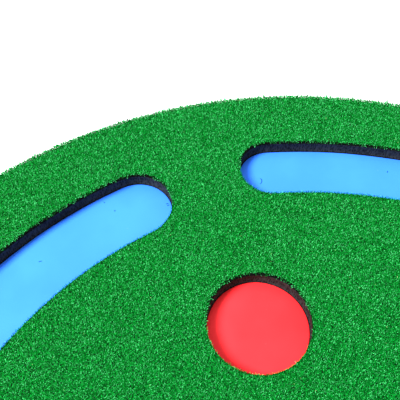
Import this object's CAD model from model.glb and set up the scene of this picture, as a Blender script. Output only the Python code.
"""Finish of a practice putting mat: tufted pile, cut foam edges, coloured foam beds and a studio floor."""

import math

import bpy
import numpy as np
from bpy.props import FloatProperty, FloatVectorProperty, IntProperty, PointerProperty
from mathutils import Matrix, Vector
from mathutils.geometry import tessellate_polygon


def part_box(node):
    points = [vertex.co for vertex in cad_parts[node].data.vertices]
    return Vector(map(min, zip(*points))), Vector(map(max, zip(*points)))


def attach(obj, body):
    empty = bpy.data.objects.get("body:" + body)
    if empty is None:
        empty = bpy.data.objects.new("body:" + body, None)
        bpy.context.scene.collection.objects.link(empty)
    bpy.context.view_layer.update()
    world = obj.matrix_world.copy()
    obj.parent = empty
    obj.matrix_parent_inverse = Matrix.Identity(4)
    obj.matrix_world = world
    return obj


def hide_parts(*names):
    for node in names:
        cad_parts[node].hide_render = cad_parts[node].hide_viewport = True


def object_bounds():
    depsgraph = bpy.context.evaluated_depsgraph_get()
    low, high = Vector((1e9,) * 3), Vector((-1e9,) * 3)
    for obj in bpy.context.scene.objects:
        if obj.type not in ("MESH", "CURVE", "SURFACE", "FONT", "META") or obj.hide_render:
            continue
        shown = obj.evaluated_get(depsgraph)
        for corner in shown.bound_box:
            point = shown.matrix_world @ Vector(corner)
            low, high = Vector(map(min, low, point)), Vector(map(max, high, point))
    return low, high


bl_info = {
    "name": "Practice Putting Mat",
    "version": (1, 0, 0),
    "blender": (4, 5, 0),
    "location": "3D View > Sidebar > Putting Mat",
    "description": "Builds the pile, foam, beds and studio stage of a practice putting mat",
    "category": "Object",
}

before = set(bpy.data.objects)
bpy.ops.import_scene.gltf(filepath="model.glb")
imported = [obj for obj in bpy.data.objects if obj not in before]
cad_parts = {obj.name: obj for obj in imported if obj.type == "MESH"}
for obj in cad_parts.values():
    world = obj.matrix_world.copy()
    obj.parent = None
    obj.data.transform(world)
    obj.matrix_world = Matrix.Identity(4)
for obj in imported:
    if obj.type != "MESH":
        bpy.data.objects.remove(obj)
CAD_LOW, CAD_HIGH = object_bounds()

MERGE = 1e-5  # corners of the CAD mesh closer than this are one corner
BATCH = 20000  # points worked on at once when distances are measured
WAVES = 8  # waves that a ripple is made of
EDGE_INSET = 0.0001  # how far a cut edge stands inside the CAD's
HAZARD_BEDS = ("left_hazard_bed", "right_hazard_bed")

# The pile's own map
FIBRE_MAP = "OFBake"  # shade of the fibre across, root to tip upwards
SHADES = 64  # columns of the map, from the darkest fibre to the palest

# Where the fibres stand, in metres
PILE_SEED = 11
BANDS = 5  # spacings between the head's and the lane's, both included
BAND_LENGTH = 0.06  # of each band between the closest and the widest
EDGE_REACH = 0.0035  # how far from an edge a fibre still feels it
EDGE_INSETS = (0.0002, 0.0014)  # of the row that follows an edge
TUFT_SIZE = 0.0032  # from one tuft to the next along a bare rim
TUFT_SEED = 8
ROOT_DEPTH = 0.0002  # how far the fibres reach into the cloth

# How they lean, in radians from upright; a pair is a middle value and its spread
LOWER_LEAN = (0.42, 0.22)  # of a fibre's lower half
UPPER_LEAN = (0.55, 0.35)  # what its upper half adds
LEAST_DRIFT = 0.3  # a heading shorter than this is not stretched to full length

# The fringe along the mat's outer edge, beside the rest of the pile
FRINGE_TUFT_SIZE = 0.003
FRINGE_TUFT_SEED = 9
FRINGE_LENGTHS = (0.75, 2.3)
FRINGE_WIDTH = 2.4

# Shades of the fibres, from 0 to 1
SHADE_SPREAD = 0.34
PALEST = 0.95
STRAW = 0.999
STRAW_SHARE = 0.0006

# Lamps: where each disc stands from the cup, and how wide it is
KEY_PLACE = (-3.90, -0.10, 4.66)
KEY_SIZE = 2.4
TOP_PLACE = (0.0, 1.88, 3.62)
TOP_SIZE = 2.0

# Loose fibres on the beds: right of and ahead of the cup's centre, and length, in metres, then the heading
# of the first end, anticlockwise from +X, and how far the fibre bends, in degrees
LOOSE_FIBRES = (
    (0.0552, 0.1770, 0.0105, 10.0, 110.0),
    (-0.0612, 0.1762, 0.0035, -20.0, 30.0),
    (-0.0600, 0.1725, 0.0030, 35.0, -40.0),
    (-0.1310, 0.1940, 0.0022, 100.0, 20.0),
    (-0.1215, 0.1795, 0.0020, 60.0, 30.0),
    (-0.2100, 0.1330, 0.0040, 150.0, 60.0),
    (0.2140, 0.1560, 0.0030, 80.0, -50.0),
)


# ---- outlines


def cad_outlines(node):
    """Closed outlines of a CAD sheet's upper face, each an array of x, y with the sheet on its left.

    Corners that coincide are made one. An edge whose reverse no triangle uses lies on an outline, and
    each outline is followed from edge to edge until it closes.
    """
    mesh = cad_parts[node].data
    mesh.calc_loop_triangles()
    points = np.empty(len(mesh.vertices) * 3, np.float32)
    mesh.vertices.foreach_get("co", points)
    points = points.reshape(-1, 3).astype(float)
    corners = np.empty(len(mesh.loop_triangles) * 3, np.int32)
    mesh.loop_triangles.foreach_get("vertices", corners)
    corners = corners.reshape(-1, 3)
    on_top = (points[corners][:, :, 2] > points[:, 2].max() - MERGE * 10).all(1)
    keys, merged = np.unique(np.round(points[:, :2] / MERGE).astype(np.int64), axis=0, return_inverse=True)
    faces = merged.reshape(-1)[corners[on_top]]
    edges = np.concatenate([faces[:, [0, 1]], faces[:, [1, 2]], faces[:, [2, 0]]])
    forward = edges[:, 0] * len(keys) + edges[:, 1]
    backward = edges[:, 1] * len(keys) + edges[:, 0]
    rim = edges[~np.isin(forward, backward)]
    following = dict(zip(rim[:, 0].tolist(), rim[:, 1].tolist()))
    outlines = []
    while following:
        chain = [next(iter(following))]
        while chain[-1] in following:
            chain.append(following.pop(chain[-1]))
        outlines.append(keys[chain[:-1]] * MERGE)
    return sorted(outlines, key=lambda loop: -abs(enclosed(loop)))


def enclosed(loop):
    """Signed area of an outline, half the sum of the cross products of neighbouring corners."""
    ahead = np.roll(loop, -1, axis=0)
    return float((loop[:, 0] * ahead[:, 1] - loop[:, 1] * ahead[:, 0]).sum() / 2)


def resample(loop, step):
    """The outline again with even steps: its length is shared out and read off along its sides.

    Each point is then averaged with its neighbours, which rounds off the CAD's facets.
    """
    closed = np.vstack([loop, loop[:1]])
    run = np.r_[0.0, np.cumsum(np.linalg.norm(np.diff(closed, axis=0), axis=1))]
    count = max(12, math.ceil(run[-1] / step))
    at = np.arange(count) * run[-1] / count
    even = np.stack([np.interp(at, run, closed[:, k]) for k in range(2)], axis=1)
    return (np.roll(even, 1, axis=0) + 2 * even + np.roll(even, -1, axis=0)) / 4


def inward(loop):
    """Unit vectors square to the outline, into the sheet: its direction turned a quarter to the left."""
    along = np.roll(loop, -1, axis=0) - np.roll(loop, 1, axis=0)
    along /= np.linalg.norm(along, axis=1, keepdims=True)
    return np.stack([-along[:, 1], along[:, 0]], axis=1)


def edge_distance(outlines, points):
    """For each point: distance to the nearest outline, unit direction to it, and whether it is on the sheet.

    The distance is to the nearest foot on any side of any outline. A point is on the sheet when a line
    from it towards +X crosses the outlines an odd number of times.
    """
    start = np.vstack(outlines)
    side = np.vstack([np.roll(loop, -1, axis=0) - loop for loop in outlines])
    squared = (side**2).sum(1)
    rise = np.where(side[:, 1] == 0, 1e-12, side[:, 1])
    found = []
    for some in np.array_split(points, max(1, len(points) // BATCH)):
        gap = some[:, None] - start[None]
        share = np.clip((gap * side).sum(2) / squared, 0, 1)
        foot = gap - share[..., None] * side
        length = (foot**2).sum(2)
        nearest = length.argmin(1)
        rows = np.arange(len(some))
        towards = -foot[rows, nearest]
        distance = np.sqrt(length[rows, nearest])
        level = gap[:, :, 1] / rise
        crossed = (level >= 0) & (level < 1) & (gap[:, :, 0] < level * side[:, 0])
        direction = towards / np.maximum(distance, 1e-9)[:, None]
        found.append(np.column_stack([distance, direction, crossed.sum(1) % 2]))
    found = np.vstack(found)
    return found[:, 0], found[:, 1:3], found[:, 3] > 0


def near_edge_distance(outlines, points, cell=0.012):
    """edge_distance, worked out exactly only near an outline.

    The points are shared among square cells. A cell whose centre is farther from every outline than its
    own diagonal lends its centre's answer to all its points.
    """
    keys, share = np.unique(np.floor(points / cell).astype(int), axis=0, return_inverse=True)
    rough = edge_distance(outlines, (keys + 0.5) * cell)
    distance, outward, inside = (part[share.reshape(-1)] for part in rough)
    close = distance < cell * 1.5
    exact = edge_distance(outlines, points[close])
    for part, better in zip((distance, outward, inside), exact):
        part[close] = better
    return distance, outward, inside


def ripple(points, size, seed):
    """A smooth random field from -1 to 1: waves about size long, in random directions.

    It is the sum of their sines over half their number, cut off at -1 and 1.
    """
    draw = np.random.default_rng(seed)
    turn = draw.uniform(0, math.tau, WAVES)
    wave = math.tau / (size * draw.uniform(0.7, 1.5, WAVES))
    phase = draw.uniform(0, math.tau, WAVES)
    across = points[:, :1] * np.cos(turn) + points[:, 1:2] * np.sin(turn)
    return np.clip(np.sin(across * wave + phase).sum(1) / (WAVES / 2), -1, 1)


# ---- meshes


def new_piece(name, mesh, material):
    """Put a finished mesh in the scene, in its material, riding on the mat's one body."""
    mesh.materials.append(material)
    piece = bpy.data.objects.new(name, mesh)
    bpy.context.scene.collection.objects.link(piece)
    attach(piece, "root")
    return piece


def stand_in(name, mesh, material, node):
    """Put a finished mesh in the scene as a filled solid, in place of a CAD node."""
    piece = new_piece(name, mesh, material)
    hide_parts(node)


def edge_profile(bottom, top, lower, upper, wall=()):
    """Profile of a cut edge: the underside's rim, a rounding, the wall, a rounding and the top's rim.

    lower and upper are the roundings, each as its inset and its height.
    """
    under = [(lower[0], bottom), (EDGE_INSET, bottom + lower[1])]
    return [*under, *wall, (EDGE_INSET, top - upper[1]), (upper[0], top)]


def smooth_mesh(name, corners, faces):
    """A mesh of the given corner blocks and faces, shaded smooth."""
    mesh = bpy.data.meshes.new(name)
    mesh.from_pydata(np.vstack(corners).tolist(), [], faces)
    mesh.update()
    mesh.shade_smooth()
    return mesh


def band(first, count):
    """Quads between a ring of count corners that starts at first and the ring that follows it."""
    ring = np.arange(count)
    following = (ring + 1) % count
    low = np.stack([first + ring, first + following], axis=1)
    return np.hstack([low, low[:, ::-1] + count])


def cap(rings, height, up):
    """Flat triangles that close a sheet at one height, inside its outlines and around its cut-outs."""
    lines = [[Vector((x, y, 0.0)) for x, y in ring] for ring in rings]
    triangles = np.array(tessellate_polygon(lines))
    flat = np.vstack(rings)
    a, b, c = (flat[triangles[:, k]] for k in range(3))
    turn = (b[:, 0] - a[:, 0]) * (c[:, 1] - a[:, 1]) - (b[:, 1] - a[:, 1]) * (c[:, 0] - a[:, 0])
    wrong = (turn > 0) != up
    triangles[wrong] = triangles[wrong][:, ::-1]
    return triangles


def cut_sheet(name, outlines, profile, wander=0.0, swell=0.0, seed=0):
    """A closed sheet: one profile carried along every outline, then capped below and above.

    profile is rows of (inset, height), from the underside's rim, up the cut edge and on over the top.
    A point is its outline's point, moved inwards by the row's inset and by wander times a random field
    that changes along the edge and from row to row. swell lifts the rows over the top by a broad field.
    """
    corners = []
    faces = []
    first = 0
    lowest = []
    highest = []
    top = profile[-1][1]
    for loop in outlines:
        square = inward(loop)
        count = len(loop)
        for row, (inset, height) in enumerate(profile):
            jog = wander * ripple(loop + row * 0.7, 0.006, seed + row // 2)
            if row in (0, len(profile) - 1):
                jog = jog * 0
            place = loop + square * (inset + jog)[:, None]
            lift = swell * ripple(place, 0.07, seed + 50) if height >= top - 0.0004 else np.zeros(count)
            corners.append(np.column_stack([place, height + lift]))
            if row:
                faces.append(band(first + (row - 1) * count, count))
        lowest.append((first, corners[-len(profile)][:, :2]))
        highest.append((first + (len(profile) - 1) * count, corners[-1][:, :2]))
        first += len(profile) * count
    triangles = []
    for rims, height, up in ((lowest, profile[0][1], False), (highest, top, True)):
        places = np.concatenate([start + np.arange(len(ring)) for start, ring in rims])
        triangles.append(places[cap([ring for _, ring in rims], height, up)])
    mesh = smooth_mesh(name, corners, [face for block in faces + triangles for face in block.tolist()])
    mesh.set_sharp_from_angle(angle=math.radians(50))
    return mesh


def paint_walls(mesh, outlines, rows, slot):
    """Give the faces between the profile's rows the material in a slot, and leave the two caps.

    The last row, on top, is left too where the sheet lies towards -Y of its edge, because there the pile
    leans over it.
    """
    index = np.zeros(len(mesh.polygons), np.int32)
    first = 0
    for loop in outlines:
        count = len(loop)
        on_top = first + (rows - 2) * count
        index[first:on_top] = slot
        index[on_top : on_top + count] = np.where(inward(loop)[:, 1] > 0.1, slot, 0)
        first = on_top + count
    mesh.polygons.foreach_set("material_index", index)


def fibre_mesh(name, root, middle, tip, across, shade):
    """Bent fibres, each a diamond folded across its middle: a triangle up from the root and one to the tip.

    root, middle and tip are each fibre's points, across half its width as a vector, and shade a number
    from 0 to 1. The map puts a fibre in the column of its shade, with its root below and its tip above.
    """
    count = len(root)
    corners = np.stack([root, middle + across, middle - across, tip], axis=1)
    pattern = np.array([0, 1, 2, 2, 1, 3])
    loops = (np.arange(count)[:, None] * 4 + pattern).astype(np.int32)
    column = (np.clip(shade, 0, 0.9999) * SHADES).astype(int) + 0.5
    sideways = np.array([0.0, 0.4, -0.4, -0.4, 0.4, 0.0])
    upwards = np.array([0.02, 0.5, 0.5, 0.5, 0.5, 0.98])
    u = (column[:, None] + sideways) / SHADES
    v = np.broadcast_to(upwards, u.shape)
    mesh = bpy.data.meshes.new(name)
    mesh.vertices.add(count * 4)
    mesh.vertices.foreach_set("co", corners.reshape(-1).astype(np.float32))
    mesh.loops.add(count * 6)
    mesh.loops.foreach_set("vertex_index", loops.reshape(-1))
    mesh.polygons.add(count * 2)
    mesh.polygons.foreach_set("loop_start", np.arange(0, count * 6, 3, dtype=np.int32))
    mesh.polygons.foreach_set("use_smooth", np.ones(count * 2, bool))
    mesh.update(calc_edges=True)
    layer = mesh.uv_layers.new(name=FIBRE_MAP)
    layer.data.foreach_set("uv", np.stack([u, v], 2).reshape(-1).astype(np.float32))
    return mesh


def strand_mesh(name, strands, height, radius, sides=5, steps=8):
    """Loose fibres lying on a level: thin tubes, each along an arc, that taper to both ends.

    strands is rows of (x, y, length, heading, bend): the arc starts at x, y, leaves at heading and turns by
    bend over its length. The tube's radius is radius times the root of the sine of the way along, and its
    middle line lies radius above the level.
    """
    along = np.linspace(0.0, 1.0, steps + 1)
    round_it = np.arange(sides) * math.tau / sides
    corners = []
    faces = []
    for x, y, length, heading, bend in strands:
        turn = heading + bend * along
        path = np.cumsum(np.stack([np.cos(turn), np.sin(turn)], axis=1) * length / steps, axis=0)
        thick = radius * (0.25 + 0.75 * np.sqrt(np.abs(np.sin(math.pi * along))))
        sideways = np.stack([-np.sin(turn), np.cos(turn)], axis=1)
        flat = path[:, None] + sideways[:, None] * (thick[:, None] * np.cos(round_it))[..., None]
        rise = height + radius + thick[:, None] * np.sin(round_it)
        first = sum(len(block) for block in corners)
        corners.append(np.dstack([flat + (x, y), rise]).reshape(-1, 3))
        for step in range(steps):
            faces += band(first + step * sides, sides).tolist()
        ring = np.arange(sides)
        faces.append((first + ring[::-1]).tolist())
        faces.append((first + steps * sides + ring).tolist())
    return smooth_mesh(name, corners, faces)


# ---- node groups and materials


def new_group(name, inputs, outputs):
    """An empty shader node group with number inputs (name, default) and number outputs (name)."""
    group = bpy.data.node_groups.new(name, "ShaderNodeTree")
    for label, default in inputs:
        socket = group.interface.new_socket(name=label, in_out="INPUT", socket_type="NodeSocketFloat")
        socket.default_value = default
    for label in outputs:
        group.interface.new_socket(name=label, in_out="OUTPUT", socket_type="NodeSocketFloat")
    return group, group.nodes.new("NodeGroupInput"), group.nodes.new("NodeGroupOutput")


def feed(tree, socket, value):
    """Link a socket into another, or set it to a plain value."""
    if isinstance(value, bpy.types.NodeSocket):
        tree.links.new(value, socket)
    else:
        socket.default_value = value


def math_node(tree, operation, *values, kind="ShaderNodeMath"):
    """A Math node with its inputs given as sockets or numbers."""
    node = tree.nodes.new(kind)
    node.operation = operation
    for socket, value in zip(node.inputs, values):
        feed(tree, socket, value)
    return node.outputs[0]


def vector_node(tree, operation, *values):
    """A Vector Math node with its inputs given as sockets or vectors."""
    return math_node(tree, operation, *values, kind="ShaderNodeVectorMath")


def place_on_object(tree):
    """Coordinates that stay with the object, in metres."""
    return tree.nodes.new("ShaderNodeTexCoord").outputs["Object"]


def noise_node(tree, coordinates, scale, detail=3.0):
    """A Noise node's value on the given coordinates."""
    node = tree.nodes.new("ShaderNodeTexNoise")
    for label, value in (("Vector", coordinates), ("Scale", scale), ("Detail", detail)):
        feed(tree, node.inputs[label], value)
    return node.outputs["Fac"]


def ramp_node(tree, value, stops):
    """A Color Ramp through stops of (position, colour)."""
    node = tree.nodes.new("ShaderNodeValToRGB")
    tree.links.new(value, node.inputs["Fac"])
    ramp = node.color_ramp
    while len(ramp.elements) < len(stops):
        ramp.elements.new(0.5)
    for element, (position, colour) in zip(ramp.elements, stops):
        element.position = position
        element.color = (*colour, 1.0)
    return node.outputs["Color"]


def blend_node(tree, mode, share, first, second):
    """A Mix node for colours, with share, first and second given as sockets or values."""
    node = tree.nodes.new("ShaderNodeMix")
    node.data_type = "RGBA"
    node.blend_type = mode
    node.clamp_result = True
    sockets = {socket.identifier: socket for socket in node.inputs}
    feed(tree, sockets["Factor_Float"], share)
    for label, value in (("A_Color", first), ("B_Color", second)):
        feed(tree, sockets[label], value if isinstance(value, bpy.types.NodeSocket) else (*value, 1.0))
    return next(socket for socket in node.outputs if socket.identifier == "Result_Color")


def foam_grain_group():
    """Closed-cell foam skin: fine cells, broad clouding and a height for them.

    Cells are a Voronoi distance at Cell Size, and clouding is soft noise at Cloud Size, both in metres.
    Cloud Shift moves the clouding, so that no two pieces need share it, and a Stretch below 1 draws the
    cells out upwards. The height is 0.6 of the cells' distance plus finer noise.
    """
    group, given, result = new_group(
        "foam_grain",
        [("Cell Size", 0.0008), ("Cloud Size", 0.05), ("Cloud Shift", 0.0), ("Stretch", 1.0)],
        ["Cells", "Cloud", "Height"],
    )
    place = place_on_object(group)
    squeeze = group.nodes.new("ShaderNodeCombineXYZ")
    for socket, value in zip(squeeze.inputs, (1.0, 1.0, given.outputs["Stretch"])):
        feed(group, socket, value)
    stretched = vector_node(group, "MULTIPLY", place, squeeze.outputs["Vector"])
    cell_scale = math_node(group, "DIVIDE", 1.0, given.outputs["Cell Size"])
    cloud_scale = math_node(group, "DIVIDE", 1.0, given.outputs["Cloud Size"])
    cells = group.nodes.new("ShaderNodeTexVoronoi")
    group.links.new(stretched, cells.inputs["Vector"])
    group.links.new(cell_scale, cells.inputs["Scale"])
    moved = vector_node(group, "ADD", place, given.outputs["Cloud Shift"])
    cloud = noise_node(group, moved, cloud_scale)
    fine = noise_node(group, stretched, cell_scale, 2.0)
    height = math_node(group, "ADD", math_node(group, "MULTIPLY", cells.outputs["Distance"], 0.6), fine)
    group.links.new(cells.outputs["Distance"], result.inputs["Cells"])
    group.links.new(cloud, result.inputs["Cloud"])
    group.links.new(height, result.inputs["Height"])
    return group


def curls_group():
    """Frizzy fibres seen from above: thin curly lines where two soft noises cross their middle value.

    A line's brightness is one less the noise's distance from its middle value, sharpened. The brighter
    of the two sets of lines is kept.
    """
    group, given, result = new_group("curled_fibres", [("Size", 0.002)], ["Strand", "Shade"])
    place = place_on_object(group)
    scale = math_node(group, "DIVIDE", 1.0, given.outputs["Size"])
    lines = []
    for shift in (0.0, 7.3):
        moved = vector_node(group, "ADD", place, (shift,) * 3)
        field = noise_node(group, moved, scale, 1.0)
        away = math_node(group, "ABSOLUTE", math_node(group, "SUBTRACT", field, 0.5))
        lines.append(math_node(group, "SUBTRACT", 1.0, math_node(group, "MULTIPLY", away, 9.0)))
    strand = math_node(group, "MAXIMUM", math_node(group, "MAXIMUM", lines[0], lines[1]), 0.0)
    shade = noise_node(group, place, scale, 0.0)
    group.links.new(strand, result.inputs["Strand"])
    group.links.new(shade, result.inputs["Shade"])
    return group


def dust_group():
    """Specks and lint that settle on the mat: a sparse mask of small soft spots, more with a larger Share.

    The mask is six times what noise at Spot Size has above 0.78 less Share, held between 0 and 1.
    """
    group, given, result = new_group("dust", [("Spot Size", 0.004), ("Share", 0.1)], ["Mask"])
    place = place_on_object(group)
    scale = math_node(group, "DIVIDE", 1.0, given.outputs["Spot Size"])
    spots = noise_node(group, place, scale, 4.0)
    floor = math_node(group, "SUBTRACT", 0.78, given.outputs["Share"])
    above = math_node(group, "MULTIPLY", math_node(group, "SUBTRACT", spots, floor), 6.0)
    mask = math_node(group, "MINIMUM", math_node(group, "MAXIMUM", above, 0.0), 1.0)
    group.links.new(mask, result.inputs["Mask"])
    return group


GROUPS = {"foam_grain": foam_grain_group, "curled_fibres": curls_group, "dust": dust_group}


def place_group(tree, name, **values):
    """Put a shared group in a material, made the first time it is asked for, and set its inputs."""
    node = tree.nodes.new("ShaderNodeGroup")
    node.node_tree = bpy.data.node_groups.get(name) or GROUPS[name]()
    for label, value in values.items():
        node.inputs[label.replace("_", " ")].default_value = value
    return node


def new_material(name, roughness, specular=0.5):
    """A material whose Principled shader has its plain values and waits for its colour.

    A value that is linked later, such as the roughness, takes the plain one's place.
    """
    material = bpy.data.materials.new(name)
    material.use_nodes = True
    shader = material.node_tree.nodes["Principled BSDF"]
    shader.inputs["Roughness"].default_value = roughness
    shader.inputs["Metallic"].default_value = 0.0
    shader.inputs["Specular IOR Level"].default_value = specular
    return material, material.node_tree, shader


def add_bump(tree, shader, height, strength, distance):
    """Feed a height to the shader's normal through a Bump node."""
    bump = tree.nodes.new("ShaderNodeBump")
    for label, value in (("Strength", strength), ("Distance", distance), ("Height", height)):
        feed(tree, bump.inputs[label], value)
    tree.links.new(bump.outputs["Normal"], shader.inputs["Normal"])


def link_colour(tree, shader, first, second, mode="MULTIPLY", share=1.0):
    """Make the shader's colour a blend of two colours."""
    tree.links.new(blend_node(tree, mode, share, first, second), shader.inputs["Base Color"])


def link_roughness(tree, shader, value, slope, start):
    """Make the shader's roughness start plus slope times a value."""
    tree.links.new(math_node(tree, "MULTIPLY_ADD", value, slope, start), shader.inputs["Roughness"])


def scaled(colour, factor):
    """A colour made lighter or darker by a factor."""
    return tuple(min(1.0, channel * factor) for channel in colour)


def grey(level):
    """A neutral colour."""
    return (level,) * 3


def fibre_material(settings):
    """Polypropylene turf fibre: its shade is read across the fibre map, and it darkens to the root."""
    material, tree, shader = new_material("turf_fibre", 0.42, 0.06)
    place = tree.nodes.new("ShaderNodeUVMap")
    place.uv_map = FIBRE_MAP
    parts = tree.nodes.new("ShaderNodeSeparateXYZ")
    tree.links.new(place.outputs["UV"], parts.inputs["Vector"])
    green = settings.fibre_colour
    pale = settings.tip_colour
    straw = settings.straw_colour
    shades = [
        (0.0, scaled(green, 0.08)),
        (0.3, scaled(green, 0.4)),
        (0.6, scaled(green, 0.85)),
        (0.82, pale),
        (0.95, scaled(pale, 1.5)),
        (0.98, scaled(pale, 1.5)),
        (0.995, straw),
    ]
    colour = ramp_node(tree, parts.outputs["X"], shades)
    depths = [(0.0, (0.03, 0.12, 0.05)), (0.3, (0.25, 0.4, 0.3)), (0.5, grey(1.0)), (1.0, (0.75, 0.8, 0.75))]
    depth = ramp_node(tree, parts.outputs["Y"], depths)
    link_colour(tree, shader, colour, depth)
    link_roughness(tree, shader, parts.outputs["Y"], -0.15, 0.6)
    return material


def backing_material(settings):
    """The foot of the pile on its cloth: a dark mat of curled fibres with dull light on their backs."""
    material, tree, shader = new_material("pile_foot", 0.6, 0.12)
    curls = place_group(tree, "curled_fibres", Size=0.0024)
    green = settings.fibre_colour
    shades = [(0.0, scaled(green, 0.06)), (0.5, scaled(green, 0.3)), (1.0, scaled(green, 0.9))]
    colour = ramp_node(tree, curls.outputs["Strand"], shades)
    clouded = ramp_node(tree, curls.outputs["Shade"], [(0.35, grey(0.6)), (0.7, grey(1.0))])
    link_colour(tree, shader, colour, clouded)
    add_bump(tree, shader, curls.outputs["Strand"], 0.8, 0.0006)
    return material


def latex_material(settings):
    """Black latex that holds the tufts, cut through at the turf's edge: rough, with stray cut fibres."""
    material, tree, shader = new_material("latex", 0.8, 0.05)
    grain = place_group(tree, "foam_grain", Cell_Size=0.0008, Cloud_Size=0.006, Stretch=0.4)
    foam = settings.foam_colour
    stray = scaled(settings.fibre_colour, 0.15)
    colour = ramp_node(tree, grain.outputs["Cloud"], [(0.5, scaled(foam, 0.25)), (0.8, stray)])
    shaded = ramp_node(tree, grain.outputs["Cells"], [(0.2, grey(0.6)), (0.8, grey(1.0))])
    link_colour(tree, shader, colour, shaded)
    add_bump(tree, shader, grain.outputs["Height"], 0.7, 0.0005)
    return material


def black_foam_material(settings):
    """Die-cut black foam: upright knife marks and open cells, greyer where the cells catch the light."""
    material, tree, shader = new_material("black_foam", 0.85, 0.12)
    grain = place_group(tree, "foam_grain", Cell_Size=0.0013, Cloud_Size=0.03, Stretch=0.22)
    dust = place_group(tree, "dust", Spot_Size=0.003, Share=0.12)
    foam = settings.foam_colour
    colour = ramp_node(tree, grain.outputs["Cells"], [(0.15, scaled(foam, 0.3)), (0.65, scaled(foam, 2.5))])
    clouded = ramp_node(tree, grain.outputs["Cloud"], [(0.35, grey(0.65)), (0.7, grey(1.0))])
    shaded = blend_node(tree, "MULTIPLY", 1.0, colour, clouded)
    speck = math_node(tree, "MULTIPLY", dust.outputs["Mask"], 0.35)
    link_colour(tree, shader, shaded, scaled(foam, 3.2), "MIX", speck)
    link_roughness(tree, shader, grain.outputs["Cloud"], 0.2, 0.72)
    add_bump(tree, shader, grain.outputs["Height"], 0.7, 0.0006)
    return material


def loose_fibre_material(settings):
    """A pile fibre that has come away: the darkest green, lighter in patches."""
    material, tree, shader = new_material("loose_fibre", 0.5, 0.1)
    curls = place_group(tree, "curled_fibres", Size=0.003)
    green = settings.fibre_colour
    shades = [(0.3, scaled(green, 0.03)), (0.8, scaled(green, 0.2))]
    tree.links.new(ramp_node(tree, curls.outputs["Shade"], shades), shader.inputs["Base Color"])
    return material


def bed_material(name, colour, depth, cloud_size, cloud_shift):
    """Coloured foam sheet: a matt skin with fine grain, clouded dye and a little dust.

    depth is what the dye's weaker colours keep where the clouding is deepest.
    """
    material, tree, shader = new_material(name, 0.38, 0.05)
    clouding = {"Cloud_Size": cloud_size, "Cloud_Shift": cloud_shift}
    grain = place_group(tree, "foam_grain", Cell_Size=0.0007, **clouding)
    dust = place_group(tree, "dust", Spot_Size=0.006, Share=0.06)
    deep = tuple(channel * (depth + (1.0 - depth) * channel) for channel in colour)
    clouded = ramp_node(tree, grain.outputs["Cloud"], [(0.36, deep), (0.64, colour)])
    cells = ramp_node(tree, grain.outputs["Cells"], [(0.0, grey(0.94)), (0.5, grey(1.0))])
    even = blend_node(tree, "MULTIPLY", 1.0, clouded, cells)
    speck = math_node(tree, "MULTIPLY", dust.outputs["Mask"], 0.10)
    dusty = blend_node(tree, "MIX", speck, even, (0.8, 0.8, 0.8))
    grit = place_group(tree, "dust", Spot_Size=0.0035, Share=0.02)
    dark = math_node(tree, "MULTIPLY", grit.outputs["Mask"], 0.35)
    link_colour(tree, shader, dusty, scaled(colour, 0.15), "MIX", dark)
    link_roughness(tree, shader, grain.outputs["Cloud"], 0.2, 0.26)
    add_bump(tree, shader, grain.outputs["Height"], 0.15, 0.0002)
    return material


def grip_material(settings):
    """Non-slip sheet: rows of raised dots moulded in dark rubber, dusty between them."""
    material, tree, shader = new_material("grip_rubber", 0.8, 0.3)
    place = place_on_object(tree)
    dots = tree.nodes.new("ShaderNodeTexVoronoi")
    dots.inputs["Scale"].default_value = 1.0 / settings.grip_dot_spacing
    dots.inputs["Randomness"].default_value = 0.0
    tree.links.new(place, dots.inputs["Vector"])
    dust = place_group(tree, "dust", Spot_Size=0.02, Share=0.25)
    rubber = settings.grip_colour
    shades = [(0.2, scaled(rubber, 1.6)), (0.45, scaled(rubber, 0.8))]
    colour = ramp_node(tree, dots.outputs["Distance"], shades)
    speck = math_node(tree, "MULTIPLY", dust.outputs["Mask"], 0.25)
    link_colour(tree, shader, colour, scaled(rubber, 5.0), "MIX", speck)
    height = math_node(tree, "SUBTRACT", 1.0, dots.outputs["Distance"])
    add_bump(tree, shader, height, 0.6, 0.0008)
    return material


# ---- settings


def number(name, description, default, **kind):
    """A setting that is a number; kind is its unit or subtype."""
    return FloatProperty(name=name, description=description, default=default, **kind)


def metres(name, description, default):
    """A setting that is a length, in metres."""
    return number(name, description, default, unit="LENGTH")


def paint(name, description, default):
    """A setting that is a colour."""
    return FloatVectorProperty(name=name, description=description, default=default, subtype="COLOR", size=3)


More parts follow.
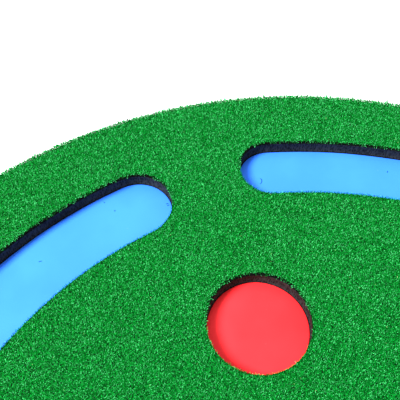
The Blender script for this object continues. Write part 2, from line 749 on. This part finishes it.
class MatSettings(bpy.types.PropertyGroup):
    """Sizes and colours of the finished mat."""

    fibre_spacing: metres("Fibre spacing", "Distance between fibres on the head", 0.00088)
    lane_spacing: metres("Lane spacing", "Distance between fibres on the lane", 0.00175)
    dense_length: metres("Dense length", "How far the closest pile reaches from the head's end", 0.46)
    edge_spacing: metres("Edge spacing", "Distance between fibres along an edge", 0.0003)
    fibre_length: metres("Fibre length", "Length of a fibre, root to tip", 0.0034)
    fibre_width: metres("Fibre width", "Width of a flat fibre on the head", 0.00044)
    nap: number("Nap", "How strongly the pile lies towards the head's end", 1.0)
    nap_setback: metres("Nap setback", "Bare cloth along edges that the pile lies away from", 0.0027)
    pile_pieces: IntProperty(name="Pile pieces", description="Strips that the pile is made in", default=10)
    backing_thickness: metres("Backing thickness", "Thickness of the turf's cloth", 0.0014)
    edge_step: metres("Edge step", "Distance between points along a cut edge", 0.004)
    wall_wander: metres("Wall wander", "How far the knife strays on a foam edge", 0.00025)
    loose_fibre_radius: metres("Loose fibre radius", "Half the thickness of a loose fibre", 0.00028)
    loose_fibre_lift: metres("Loose fibre lift", "How far a loose fibre stands off the bed", 0.0002)
    grip_dot_spacing: metres("Grip dot spacing", "Distance between the grip sheet's dots", 0.006)
    fibre_colour: paint("Fibre colour", "Most fibres", (0.0, 0.42, 0.050))
    tip_colour: paint("Pale fibre colour", "Fibres that catch the light", (0.075, 0.48, 0.17))
    straw_colour: paint("Straw colour", "The odd faded fibre", (0.42, 0.46, 0.22))
    foam_colour: paint("Foam colour", "Black foam", (0.018, 0.020, 0.021))
    blue_colour: paint("Water colour", "Beds of the water hazards", (0.055, 0.24, 0.95))
    red_colour: paint("Cup colour", "Bed of the cup", (0.92, 0.047, 0.056))
    grip_colour: paint("Grip colour", "Grip sheet", (0.020, 0.020, 0.022))


class StageSettings(bpy.types.PropertyGroup):
    """Camera, lights and floor."""

    elevation: number("Camera elevation", "Angle above the floor", math.radians(55.6), subtype="ANGLE")
    bearing: number("Camera bearing", "Clockwise from the mat's length", math.radians(13.77), subtype="ANGLE")
    distance: metres("Camera distance", "From the camera to the point it aims at", 0.679)
    aim_right: metres("Aim right of cup", "Aim point, to the right of the cup", -0.0231)
    aim_ahead: metres("Aim ahead of cup", "Aim point, from the cup to the head's end", 0.1582)
    lens: number("Lens", "Focal length in millimetres", 53.05)
    key_power: number("Key power", "Power of the key light", 736.0, unit="POWER")
    top_power: number("Top power", "Power of the light above the head's end", 24.0, unit="POWER")
    sky_strength: number("Sky strength", "Strength of the soft surround", 0.80)
    floor_size: metres("Floor size", "Side of the floor", 40.0)
    floor_colour: paint("Floor colour", "Pale studio floor", (0.93, 0.93, 0.93))


# ---- operators


def settings_of(context):
    """The mat's settings on the current scene."""
    return context.scene.putting_mat


def cup_middle():
    """Middle of the cup's bed."""
    low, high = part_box("cup_bed")
    return (low + high) / 2


class PUTTINGMAT_OT_grip_sheet(bpy.types.Operator):
    """Make the non-slip sheet under the mat"""

    bl_idname = "putting_mat.grip_sheet"
    bl_label = "Grip Sheet"

    def execute(self, context):
        settings = settings_of(context)
        low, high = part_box("grip_sheet")
        outlines = [resample(loop, settings.edge_step) for loop in cad_outlines("grip_sheet")]
        profile = edge_profile(low.z, high.z, (0.0006, 0.0005), (0.0004, 0.0004))
        mesh = cut_sheet("grip_sheet_skin", outlines, profile)
        stand_in("grip_sheet_skin", mesh, grip_material(settings), "grip_sheet")
        return {"FINISHED"}


class PUTTINGMAT_OT_foam(bpy.types.Operator):
    """Make the two black foam sheets, with knife marks on every cut edge"""

    bl_idname = "putting_mat.foam"
    bl_label = "Foam"

    def execute(self, context):
        settings = settings_of(context)
        material = black_foam_material(settings)
        for seed, node in enumerate(("lower_foam", "foam_core")):
            low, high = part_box(node)
            tall = high.z - low.z
            outlines = [resample(loop, settings.edge_step * 0.6) for loop in cad_outlines(node)]
            rows = max(3, round(tall / 0.002))
            rise = np.linspace(0.12, 0.88, rows)
            bow = 0.0003 + 0.0005 * np.sin(math.pi * rise)
            wall = [(float(b), low.z + tall * float(r)) for b, r in zip(bow, rise)]
            profile = edge_profile(low.z, high.z, (0.0007, 0.0003), (0.0007, 0.0003), wall)
            mesh = cut_sheet(f"{node}_cut", outlines, profile, settings.wall_wander, 0.0, 10 * seed)
            stand_in(f"{node}_cut", mesh, material, node)
        return {"FINISHED"}


class PUTTINGMAT_OT_beds(bpy.types.Operator):
    """Make the coloured foam beds of the cup and the water hazards"""

    bl_idname = "putting_mat.beds"
    bl_label = "Beds"

    def execute(self, context):
        settings = settings_of(context)
        blue = bed_material("blue_foam", settings.blue_colour, 0.9, 0.05, 0.0)
        red = bed_material("red_foam", settings.red_colour, 0.68, 0.11, 1.77)
        kinds = [(node, blue, "blue_foam") for node in HAZARD_BEDS] + [("cup_bed", red, "red_foam")]
        for seed, (node, material, slot) in enumerate(kinds):
            low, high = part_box(node)
            outlines = [resample(loop, settings.edge_step / 2) for loop in cad_outlines(node)]
            edge = [(0.0, low.z), (0.0, high.z - 0.0005), (0.00015, high.z - 0.00015), (0.0005, high.z)]
            rings = [(inset, high.z) for inset in (0.0015, 0.004, 0.008, 0.014, 0.021, 0.028)]
            mesh = cut_sheet(f"{node}_foam", outlines, edge + rings, 0.0, 0.0002, 20 + seed)
            stand_in(f"{node}_foam", mesh, material, node)
        return {"FINISHED"}


class PUTTINGMAT_OT_loose_fibres(bpy.types.Operator):
    """Lay a few loose pile fibres on the beds of the water hazards"""

    bl_idname = "putting_mat.loose_fibres"
    bl_label = "Loose Fibres"

    def execute(self, context):
        settings = settings_of(context)
        cup = cup_middle()
        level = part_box("cup_bed")[1].z + settings.loose_fibre_lift
        placed = [
            (cup.x + right, cup.y + ahead, length, math.radians(heading), math.radians(bend))
            for right, ahead, length, heading, bend in LOOSE_FIBRES
        ]
        mesh = strand_mesh("loose_fibres", placed, level, settings.loose_fibre_radius)
        new_piece("loose_fibres", mesh, loose_fibre_material(settings))
        return {"FINISHED"}


class PUTTINGMAT_OT_turf(bpy.types.Operator):
    """Make the turf: its backing cloth and the tufted pile that stands on it"""

    bl_idname = "putting_mat.turf"
    bl_label = "Turf"

    def execute(self, context):
        settings = settings_of(context)
        low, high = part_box("turf")
        outlines = cad_outlines("turf")
        cloth = low.z + settings.backing_thickness
        loops = [resample(loop, settings.edge_step) for loop in outlines]
        profile = edge_profile(low.z, cloth, (0.0004, 0.0004), (0.0004, 0.0004))
        profile.append((0.0034, cloth))
        mesh = cut_sheet("turf_backing", loops, profile)
        backing = new_piece("turf_backing", mesh, backing_material(settings))
        mesh.materials.append(latex_material(settings))
        paint_walls(mesh, loops, len(profile), 1)
        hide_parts("turf")

        strips = self.pile(settings, outlines, cloth)
        return {"FINISHED"}

    def pile(self, settings, outlines, cloth):
        """Stand the fibres on the cloth and cut the pile into strips across the mat."""
        draw = np.random.default_rng(PILE_SEED)
        root, outward, near, broad, fringe = self.plant(settings, draw, outlines)
        shape, shade = self.grow(settings, draw, root, outward, near, broad, fringe, cloth)
        material = fibre_material(settings)
        order = np.argsort(root[:, 1], kind="stable")
        strips = []
        for strip, part in enumerate(np.array_split(order, settings.pile_pieces), 1):
            name = f"turf_pile_{strip}"
            mesh = fibre_mesh(name, *(points[part] for points in shape), shade[part])
            strips.append(new_piece(name, mesh, material))
        return strips

    def plant(self, settings, draw, outlines):
        """Choose the roots: a jittered grid, and a closer row along every edge.

        Gives each root's x, y, the way out over the nearest edge, how near that edge is from 0 to 1, how
        much broader than the head's its fibre is, and whether it belongs to the fringe, the row along the
        mat's own outline. The outlines start with that one, and the holes follow.
        """
        grid, coarse = self.stations(settings, draw)
        distance, outward, inside = near_edge_distance(outlines, grid)
        bare = self.bare_rim(settings, grid, -outward[:, 1])
        rooted = inside & (distance > 0.0004 + bare)
        near = np.clip(1.0 - distance[rooted] / EDGE_REACH, 0, 1)
        rows = [(grid[rooted], outward[rooted], near, coarse[rooted], np.zeros(rooted.sum()))]
        for hole, loop in enumerate(outlines):
            rim = resample(loop, settings.edge_spacing)
            square = inward(rim)
            inset = draw.uniform(*EDGE_INSETS, len(rim)) + self.bare_rim(settings, rim, square[:, 1])
            ones = np.ones(len(rim))
            rows.append((rim + square * inset[:, None], -square, ones, ones, ones * (hole == 0)))
        root, outward, near, broad, fringe = (np.concatenate(column) for column in zip(*rows))
        return root, outward, near, broad, fringe > 0

    def grow(self, settings, draw, root, outward, near, broad, fringe, cloth):
        """Shape and shade every fibre: its root, middle, tip and half width, and its place on the fibre map.

        A fibre's lower half leans along the sum of a random heading and the nap, and its upper half leans
        further along a heading of its own. At the fringe and on rims that the pile lies away from, some
        are stray: they lean out over the edge. The fringe's are also longer, in tufts, and broader.
        """
        count = len(root)
        turn = draw.uniform(0, math.tau, count)
        facing = -outward[:, 1]
        loose = ripple(root, TUFT_SIZE, TUFT_SEED) < -0.3
        odds = np.where(fringe, 0.8, np.where(facing > 0, np.where(loose, 0.6, 0.08), 0.0))
        stray = near * (draw.random(count) < odds)
        nap = np.array([0.0, settings.nap])
        lean = np.stack([np.cos(turn), np.sin(turn)], axis=1) + nap
        lean += 2.5 * stray[:, None] * outward
        lean = self.heading(lean)
        curl = turn + draw.normal(0, 1.1, count)
        bent = 0.35 * lean + np.stack([np.cos(curl), np.sin(curl)], axis=1) + 0.6 * nap
        bent += 1.5 * stray[:, None] * outward
        bent = self.heading(bent)
        length = settings.fibre_length * draw.uniform(0.7, 1.25, count)
        tufts = np.clip(ripple(root, FRINGE_TUFT_SIZE, FRINGE_TUFT_SEED), 0, 1)
        reach = FRINGE_LENGTHS[0] + 0.8 * tufts + draw.exponential(0.3, count)
        length *= np.where(fringe, np.clip(reach, *FRINGE_LENGTHS), 1.0)
        upright = 1.0 - 0.1 * near * (stray == 0) * (facing < 0)
        tilt = np.clip(draw.normal(*LOWER_LEAN, count) + 0.3 * stray, 0.05, 1.1) * upright
        droop = np.where(fringe, -0.2, 0.5) * stray
        nod = np.clip(tilt + draw.normal(*UPPER_LEAN, count) + droop, 0.1, 1.9) * upright
        foot = np.column_stack([root, np.full(count, cloth - ROOT_DEPTH)])
        middle = self.climb(foot, length / 2, tilt, lean)
        tip = self.climb(middle, length / 2, nod, bent)

        half = settings.fibre_width / 2 * broad * np.where(fringe, FRINGE_WIDTH, 1.0)
        half *= draw.uniform(0.7, 1.3, count)
        roll = draw.normal(0, 0.6, count)
        side = self.heading(np.stack([-(lean[:, 1] + bent[:, 1]), lean[:, 0] + bent[:, 0]], axis=1))
        across = np.column_stack([side * (half * np.cos(roll))[:, None], half * np.sin(roll)])

        shade = 0.5 + 0.02 * ripple(root, 0.05, 7)
        shade += draw.normal(0, SHADE_SPREAD, count) + 0.3 * stray - 0.16 * near * (facing < 0)
        shade = np.clip(shade, 0.0, PALEST)
        shade[draw.random(count) < STRAW_SHARE] = STRAW
        return (foot, middle, tip, across), shade

    def heading(self, drift):
        """Level drifts brought to unit length; one shorter than LEAST_DRIFT is only divided by that."""
        return drift / np.maximum(np.linalg.norm(drift, axis=1, keepdims=True), LEAST_DRIFT)

    def stations(self, settings, draw):
        """Where the fibres may stand, and how coarse the pile is there: jittered square grids in bands.

        The spacing grows in even steps from the head's to the lane's, and coarseness is its ratio to the
        head's. The first band is the dense one, those behind it are BAND_LENGTH long, and the last
        reaches the mat's other end.
        """
        low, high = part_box("turf")
        spacings = np.linspace(settings.fibre_spacing, settings.lane_spacing, BANDS)
        behind = high.y - settings.dense_length - BAND_LENGTH * np.arange(BANDS - 1)
        cuts = [high.y, *behind, low.y]
        grids = []
        coarses = []
        for step, top, bottom in zip(spacings, cuts[:-1], cuts[1:]):
            columns = np.arange(low.x + step / 2, high.x, step)
            rows = np.arange(top - step / 2, bottom, -step)
            grid = np.stack(np.meshgrid(columns, rows), axis=2).reshape(-1, 2)
            grids.append(grid + draw.uniform(-0.5, 0.5, grid.shape) * step)
            coarses.append(np.full(len(grid), step / settings.fibre_spacing))
        return np.vstack(grids), np.concatenate(coarses)

    def bare_rim(self, settings, points, facing):
        """Width of the bare rim where the pile leans away from an edge, wider and narrower from tuft to tuft.

        facing is how far the way out over the edge points to -Y, from -1 to 1.
        """
        tufts = np.clip(0.9 + 1.6 * ripple(points, TUFT_SIZE, TUFT_SEED), 0, 1.9)
        return settings.nap_setback * np.clip(facing, 0, 1) * tufts

    def climb(self, start, run, angle, heading):
        """Points a given run further on, leaning by an angle from upright along a level heading."""
        level = (run * np.sin(angle))[:, None] * heading
        return start + np.column_stack([level, run * np.cos(angle)])


class PUTTINGMAT_OT_stage(bpy.types.Operator):
    """Make the floor, the lights and the camera"""

    bl_idname = "putting_mat.stage"
    bl_label = "Stage"

    def execute(self, context):
        stage = context.scene.putting_mat_stage
        self.floor(stage)
        self.lights(context, stage)
        self.camera(context, stage)
        return {"FINISHED"}

    def floor(self, stage):
        """A wide flat floor just under the mat, pale and matt with a faint mottle."""
        half = stage.floor_size / 2
        drop = CAD_LOW.z - 0.0005
        corners = [(-half, -half, drop), (half, -half, drop), (half, half, drop), (-half, half, drop)]
        mesh = bpy.data.meshes.new("studio_floor")
        mesh.from_pydata(corners, [], [(0, 1, 2, 3)])
        material, tree, shader = new_material("studio_floor", 0.9, 0.1)
        place = place_on_object(tree)
        mottle = noise_node(tree, place, 3.0)
        pale = stage.floor_colour
        tree.links.new(
            ramp_node(tree, mottle, [(0.3, scaled(pale, 0.99)), (0.7, pale)]), shader.inputs["Base Color"]
        )
        mesh.materials.append(material)
        floor = bpy.data.objects.new("studio_floor", mesh)
        bpy.context.scene.collection.objects.link(floor)

    def lights(self, context, stage):
        """A soft light high on the left, another above the head's end for the sheen, and an even surround."""
        world = bpy.data.worlds.new("studio")
        world.use_nodes = True
        world.node_tree.nodes["Background"].inputs["Color"].default_value = (1.0, 1.0, 1.0, 1.0)
        world.node_tree.nodes["Background"].inputs["Strength"].default_value = stage.sky_strength
        context.scene.world = world
        lamps = (("key", KEY_PLACE, KEY_SIZE, stage.key_power), ("top", TOP_PLACE, TOP_SIZE, stage.top_power))
        for name, place, size, watts in lamps:
            lamp = bpy.data.lights.new(name, "AREA")
            lamp.shape = "DISK"
            lamp.size = size
            lamp.energy = watts
            light = bpy.data.objects.new(name, lamp)
            light.location = cup_middle() + Vector(place)
            light.rotation_euler = (-Vector(place)).to_track_quat("-Z", "Y").to_euler()
            context.scene.collection.objects.link(light)
        context.scene.view_settings.view_transform = "Standard"
        context.scene.view_settings.look = "Medium High Contrast"

    def camera(self, context, stage):
        """A camera that looks down on the head from over the cup, towards the head's end."""
        cup = cup_middle()
        turf_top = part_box("turf")[1].z
        aim = Vector((cup.x + stage.aim_right, cup.y + stage.aim_ahead, turf_top - 0.001))
        level = math.cos(stage.elevation)
        look = Vector((math.sin(stage.bearing) * level, math.cos(stage.bearing) * level, 0.0))
        look.z = -math.sin(stage.elevation)
        data = bpy.data.cameras.new("camera")
        data.lens = stage.lens
        data.clip_end = 100.0
        camera = bpy.data.objects.new("camera", data)
        camera.location = aim - look * stage.distance
        camera.rotation_euler = look.to_track_quat("-Z", "Y").to_euler()
        context.scene.collection.objects.link(camera)
        context.scene.camera = camera


class PUTTINGMAT_PT_panel(bpy.types.Panel):
    """Lists the mat's pieces in the sidebar"""

    bl_label = "Putting Mat"
    bl_idname = "PUTTINGMAT_PT_panel"
    bl_space_type = "VIEW_3D"
    bl_region_type = "UI"
    bl_category = "Putting Mat"

    def draw(self, context):
        for maker in MAKERS:
            self.layout.operator(maker.bl_idname)


MAKERS = (
    PUTTINGMAT_OT_stage,
    PUTTINGMAT_OT_grip_sheet,
    PUTTINGMAT_OT_foam,
    PUTTINGMAT_OT_beds,
    PUTTINGMAT_OT_loose_fibres,
    PUTTINGMAT_OT_turf,
)
CLASSES = (MatSettings, StageSettings, *MAKERS, PUTTINGMAT_PT_panel)


def register():
    for item in CLASSES:
        bpy.utils.register_class(item)
    bpy.types.Scene.putting_mat = PointerProperty(type=MatSettings)
    bpy.types.Scene.putting_mat_stage = PointerProperty(type=StageSettings)


def unregister():
    del bpy.types.Scene.putting_mat_stage
    del bpy.types.Scene.putting_mat
    for item in reversed(CLASSES):
        bpy.utils.unregister_class(item)


def main():
    register()
    bpy.ops.putting_mat.stage()
    bpy.ops.putting_mat.grip_sheet()
    bpy.ops.putting_mat.foam()
    bpy.ops.putting_mat.beds()
    bpy.ops.putting_mat.loose_fibres()
    bpy.ops.putting_mat.turf()


if __name__ == "__main__":
    main()
